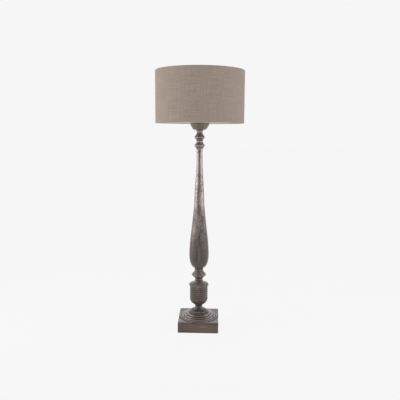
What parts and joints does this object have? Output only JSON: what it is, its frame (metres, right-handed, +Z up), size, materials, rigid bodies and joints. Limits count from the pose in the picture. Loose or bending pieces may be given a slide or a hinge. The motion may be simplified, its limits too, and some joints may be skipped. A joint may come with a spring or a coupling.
{
  "type": "floor lamp",
  "caption": "Candlestick floor lamp: a turned wooden column on a square plinth with a stepped disc, under a plain linen drum shade.",
  "frame": {"origin": "on the floor, at the middle of the lamp, on the column's axis", "axes": "+Z up along the column; the cord outlet is at +Y, the switch key at +X, and the front is -Y"},
  "size_m": [0.55, 0.55, 1.6321],
  "materials": {
    "plinth_wood": "worn grey-brown wax over a brown ground",
    "disc_wood": "rubbed pale grey on the ridges, brown in the grooves",
    "column_wood": "dark grey-brown stain rubbed with pale wax, satin",
    "cup_wood": "beige-grey wax, satin",
    "board": "bare board",
    "felt": "felt",
    "iron": "rough cast",
    "screw_steel": "zinc plated",
    "tube_steel": "threaded",
    "dark_plastic": "matte",
    "white_plastic": "matte",
    "lead_sheath": "smooth sheath",
    "brass": "aged brass",
    "ceramic": "glazed porcelain",
    "linen": "taupe linen, plain weave",
    "lining": "smooth pale lining",
    "white_wire": "white enamel",
    "frosted_glass": "frosted",
    "bulb_metal": "plain",
    "black_glass": "glossy",
    "filament": "yellow light strips on a glass foot"
  },
  "bodies": {
    "stand": {"plinth": "plinth_wood", "bottom_cover": "board", "cover_screws": "screw_steel", "felt_pads": "felt", "ballast": "iron", "ballast_screws": "screw_steel", "cord_bush": "dark_plastic", "terminal_block": "white_plastic", "block_screws": "screw_steel", "bottom_washer": "screw_steel", "bottom_nut": "screw_steel", "threaded_tube": "tube_steel", "inner_lead": "lead_sheath", "stepped_disc": "disc_wood", "foot": "column_wood", "urn": "column_wood", "bead": "column_wood", "baluster": "column_wood", "twin_bead_neck": "column_wood", "cup": "cup_wood", "cup_washer": "screw_steel", "cup_nut": "screw_steel", "holder_cap": "brass", "cap_grub_screw": "screw_steel", "holder_insert": "ceramic", "holder_contact": "brass", "terminal_screws": "screw_steel", "holder_shell": "brass", "holder_jacket": "brass", "seat_ring": "dark_plastic"},
    "switch_key": {"key_stem": "brass", "key_knob": "dark_plastic"},
    "shade": {"shade_fabric": "linen", "shade_lining": "lining", "shade_top_wire": "white_wire", "shade_frame": "white_wire"},
    "shade_ring": {"shade_ring": "dark_plastic"},
    "bulb": {"bulb_glass": "frosted_glass", "bulb_cap": "bulb_metal", "bulb_insulator": "black_glass", "bulb_contact": "bulb_metal", "bulb_filament": "filament"}
  },
  "joints": [
    {"name": "key_turn", "type": "hinge", "parent": "stand", "child": "switch_key", "pos_m": [0.0335, 0, 1.34275], "axis": [1, 0, 0], "continuous": true},
    {"name": "shade_turn", "type": "hinge", "parent": "stand", "child": "shade", "pos_m": [0, 0, 1.362], "axis": [0, 0, 1], "continuous": true},
    {"name": "shade_ring_unscrew", "type": "slide", "parent": "stand", "child": "shade_ring", "axis": [0, 0, 1], "range_m": [0, 0.016]},
    {"name": "bulb_unscrew", "type": "slide", "parent": "stand", "child": "bulb", "axis": [0, 0, 1], "range_m": [0, 0.11]}
  ]
}
